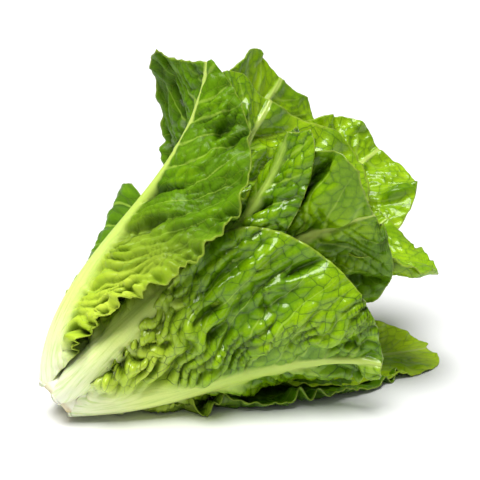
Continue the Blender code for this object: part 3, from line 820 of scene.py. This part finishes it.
finish_leaf("tall_back_leaf", dict(
    around=104, drift=0, foot=12, base=0.5, length=266, rib=3.8, lean=(34, 16, 14, 28), twist=(0, 10, 20),
    widths=(44, 40), widest=(0.84, 0.84), tips=(0.6, 0.6), rounds=(0.5, 0.5), sweep=0.2,
    left=(0, 10, 0), curl_left=(60, 30, 0), hook_left=(0, 0, 0),
    right=(0, 10, 0), curl_right=(60, 30, 0), hook_right=(0, 0, 0),
    seed=67, cell=6.5, blister=0.8, quilt=1.0, crumple=2.6, smooth_rim=0.6,
    gather=1.2, pleat=11, pleat_reach=14, frill=(2, 2, 2), wave=24, fringe=6,
    glossy=0.5, tone_and_light=0.5, rib_end=0.6, green_from=0.5))

# ---------------------------------------------------------------------------------------------
# The inner leaves. Rounder and glossier, they stand inside the outer ones and curl round the
# heart.
finish_leaf("front_right_leaf", dict(
    around=-80, drift=0, foot=15, base=0.5, length=214, rib=3.6, lean=(32, 4, 14, 44), twist=(0, 0, 0),
    widths=(66, 94), widest=(0.72, 0.54), tips=(0.5, 0.15), rounds=(0.5, 0.5), sweep=0.1,
    left=(0, 5, 0), curl_left=(60, 40, 20), hook_left=(0, 0, 0),
    right=(0, 0, -10), curl_right=(60, 30, 0), hook_right=(0, 0, 0),
    seed=71, cell=6.5, blister=0.9, quilt=1.3, crumple=5.0, smooth_rim=0.7,
    gather=2.4, pleat=11, pleat_reach=18, frill=(2, 1.5, 1), wave=25, fringe=6,
    glossy=0.6, tone_and_light=0.38, rib_end=1.0, green_from=0.5))
finish_leaf("right_back_leaf", dict(
    around=48, drift=0, foot=17, base=0.5, length=280, rib=3.6, lean=(36, 14, 8, 20), twist=(0, 0, 0),
    widths=(60, 52), widest=(0.74, 0.74), tips=(0.3, 0.3), rounds=(0.5, 0.5), sweep=0.2,
    left=(0, 10, 10), curl_left=(60, 30, 0), hook_left=(0, 0, 0),
    right=(0, 10, 10), curl_right=(60, 30, 0), hook_right=(0, 0, 0),
    seed=73, cell=7, blister=1.1, quilt=1.2, crumple=5.0, smooth_rim=0.5,
    gather=1.2, pleat=11, pleat_reach=14, frill=(2, 2, 2), wave=23, fringe=6,
    glossy=0.7, tone_and_light=0.6, rib_end=0.8, green_from=0.5))
finish_leaf("right_low_leaf", dict(
    around=6, drift=0, foot=26, base=0.44, length=236, rib=3.6, lean=(38, 16, 16, 30), twist=(0, 0, 0),
    widths=(98, 54), widest=(0.62, 0.74), tips=(0.3, 0.3), rounds=(0.5, 0.5), sweep=0,
    left=(0, 10, 0), curl_left=(60, 30, 0), hook_left=(0, 0, 0),
    right=(0, 10, 10), curl_right=(60, 30, 0), hook_right=(0, 0, 0),
    seed=79, cell=7, blister=1.3, quilt=1.2, crumple=4.5, smooth_rim=0.5,
    gather=1.2, pleat=11, pleat_reach=14, frill=(2, 2.5, 2.5), wave=22, fringe=6,
    glossy=0.7, tone_and_light=0.56, rib_end=0.7, green_from=0.5))
finish_leaf("inner_back_leaf", dict(
    around=118, drift=0, foot=29, base=0.44, length=218, rib=3.2, lean=(34, 10, 12, 26), twist=(0, 30, 45),
    widths=(98, 50), widest=(0.72, 0.72), tips=(0.5, 0.5), rounds=(0.5, 0.5), sweep=0.2,
    left=(0, 10, 0), curl_left=(60, 30, 0), hook_left=(0, 0, 0),
    right=(0, 10, 0), curl_right=(60, 30, 0), hook_right=(0, 0, 0),
    seed=83, cell=7, blister=1.2, quilt=1.2, crumple=5.0, smooth_rim=0.6,
    gather=1.4, pleat=11, pleat_reach=14, frill=(2, 2, 1.5), wave=24, fringe=6,
    glossy=0.95, tone_and_light=0.5, rib_end=0.8, green_from=0.45))

# ---------------------------------------------------------------------------------------------
# The heart. Small pale leaves, still curled round each other at the stem's growing tip.
for place, (around, foot, base, length, width, rib) in enumerate(
        ((-150, 36, 0.38, 145, 34, 2.4), (-12, 45, 0.33, 130, 30, 2.2), (75, 52, 0.28, 115, 24, 2.0))):
    lean = (30, 8, 0, 0) if place < 2 else (26, 6, 0, 0)
    curls = (80, 80, 60) if place < 2 else (90, 90, 60)
    finish_leaf("heart_leaf_%d" % (place + 1), dict(
        around=around, drift=0, foot=foot, base=base, length=length, rib=rib, lean=lean, twist=(0, 0, 0),
        widths=(width, width), widest=(0.6, 0.6), tips=(0.3, 0.3), rounds=(0.5, 0.5), sweep=0.2,
        left=(0, 10, 10), curl_left=curls, hook_left=(0, 0, 0),
        right=(0, 10, 10), curl_right=curls, hook_right=(0, 0, 0),
        seed=91 + place, cell=7, blister=0.8, quilt=0.8, crumple=1.2, smooth_rim=0.2,
        gather=0.8, pleat=11, pleat_reach=14, frill=(1, 2, 3), wave=15, fringe=6,
        glossy=0.7, tone_and_light=0.75, rib_end=0.6, green_from=0.9))

# ---------------------------------------------------------------------------------------------
# The table, the lamp and the camera. A wide white table under one broad, soft lamp almost
# overhead, with faint even light from all round.
TABLE_REACH = 6.0
LAMP_POWER = 3.9
LAMP_WIDTH_ANGLE = 36.0
LAMP_SIDE = (-0.16, -0.20, 1.0)
EVEN_LIGHT = 0.22
CAMERA_HEIGHT_ANGLE = 18.0
LENS = 90.0
SENSOR = 36.0
VIEW_WIDTH = 0.2976
CUT_ASIDE = 0.3827
CUT_BELOW = 0.3313


def make_table():
    """A plain white surface that the head lies on."""
    mesh = bpy.data.meshes.new("table")
    corners = [(x * TABLE_REACH, y * TABLE_REACH, 0) for x, y in ((-1, -1), (1, -1), (1, 1), (-1, 1))]
    mesh.from_pydata(corners, [], [(0, 1, 2, 3)])
    skin = Skin("white table")
    skin.shader.inputs["Base Color"].default_value = (0.93, 0.93, 0.93, 1)
    skin.shader.inputs["Roughness"].default_value = 0.6
    mesh.materials.append(skin.material)
    table = bpy.data.objects.new("table", mesh)
    bpy.context.scene.collection.objects.link(table)


def soft_sun(name, towards, spread_angle, power):
    """A wide soft source, the same all over the table."""
    light = bpy.data.lights.new(name, "SUN")
    light.angle, light.energy = math.radians(spread_angle), power
    lamp = bpy.data.objects.new(name, light)
    lamp.rotation_mode = "QUATERNION"
    lamp.rotation_quaternion = Vector(towards).to_track_quat("Z", "Y")
    bpy.context.scene.collection.objects.link(lamp)


def place_camera():
    """Looks along +Y and down a little, with the cut stem low on the left of the view."""
    tilt = math.radians(CAMERA_HEIGHT_ANGLE)
    up = Vector((0, math.sin(tilt), math.cos(tilt)))
    back = Vector((0, -math.cos(tilt), math.sin(tilt)))
    cut_middle = Vector(lay_down(np.zeros((1, 3)))[0])
    centre = cut_middle + Vector((1, 0, 0)) * CUT_ASIDE * VIEW_WIDTH + up * CUT_BELOW * VIEW_WIDTH
    camera = bpy.data.objects.new("camera", bpy.data.cameras.new("camera"))
    camera.data.lens, camera.data.sensor_width = LENS, SENSOR
    camera.location = centre + back * VIEW_WIDTH * LENS / SENSOR
    camera.rotation_mode = "QUATERNION"
    camera.rotation_quaternion = (-back).to_track_quat("-Z", "Y")
    bpy.context.scene.collection.objects.link(camera)
    bpy.context.scene.camera = camera


make_table()
soft_sun("overhead lamp", LAMP_SIDE, LAMP_WIDTH_ANGLE, LAMP_POWER)
world = bpy.data.worlds.new("studio")
bpy.context.scene.world = world
world.use_nodes = True
world.node_tree.nodes["Background"].inputs[0].default_value = (1, 1, 1, 1)
world.node_tree.nodes["Background"].inputs[1].default_value = EVEN_LIGHT
bpy.context.scene.view_settings.view_transform = "Standard"
place_camera()
